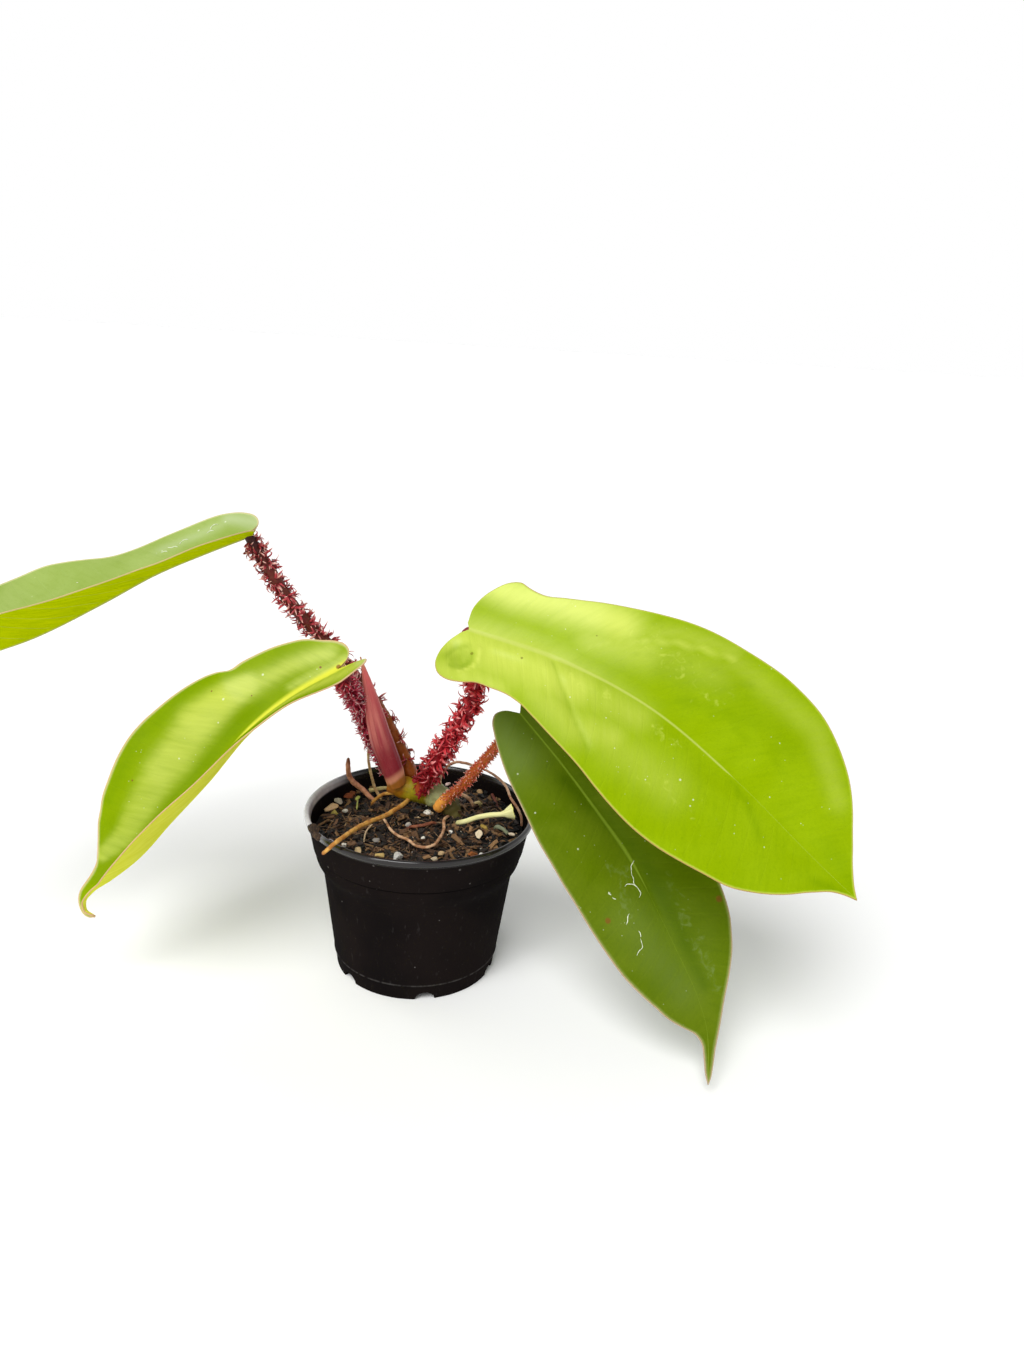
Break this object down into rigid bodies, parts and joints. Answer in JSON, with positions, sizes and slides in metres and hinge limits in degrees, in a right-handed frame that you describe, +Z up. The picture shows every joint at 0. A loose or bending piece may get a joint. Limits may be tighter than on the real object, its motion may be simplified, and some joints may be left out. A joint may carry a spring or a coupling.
{
  "type": "potted plant",
  "caption": "Young climbing aroid with long cupped leaves on bristly petioles, a pointed sheath and looping aerial roots, in a small round nursery pot.",
  "frame": {"origin": "centre of the underside of the pot's base, on the surface that the pot stands on", "axes": "+Z up along the pot's axis; -Y towards the side the plant is seen from; -X towards the two long leaves on the left"},
  "size_m": [0.2372, 0.0815, 0.1166],
  "materials": {
    "pot_plastic": "satin",
    "potting_mix": "matte",
    "stem_skin": "satin",
    "sheath_skin": "satin",
    "stub_skin": "satin",
    "root_skin": "matte",
    "leaf_1_blade": "satin",
    "leaf_2_blade": "gloss",
    "leaf_3_blade": "satin",
    "leaf_4_blade": "satin",
    "petiole_1_skin": "satin",
    "petiole_2_skin": "satin",
    "petiole_3_skin": "satin",
    "petiole_4_skin": "satin"
  },
  "bodies": {
    "root": {"pot": "pot_plastic", "soil": "potting_mix", "stem": "stem_skin", "sheath": "sheath_skin", "stub": "stub_skin", "leaf_1": "leaf_1_blade", "leaf_2": "leaf_2_blade", "leaf_3": "leaf_3_blade", "leaf_4": "leaf_4_blade", "petiole_1": "petiole_1_skin", "petiole_2": "petiole_2_skin", "petiole_3": "petiole_3_skin", "petiole_4": "petiole_4_skin", "root_1": "root_skin", "root_2": "root_skin", "root_3": "root_skin", "root_4": "root_skin", "root_5": "root_skin", "root_6": "root_skin", "root_7": "root_skin", "root_8": "root_skin"}
  },
  "joints": []
}
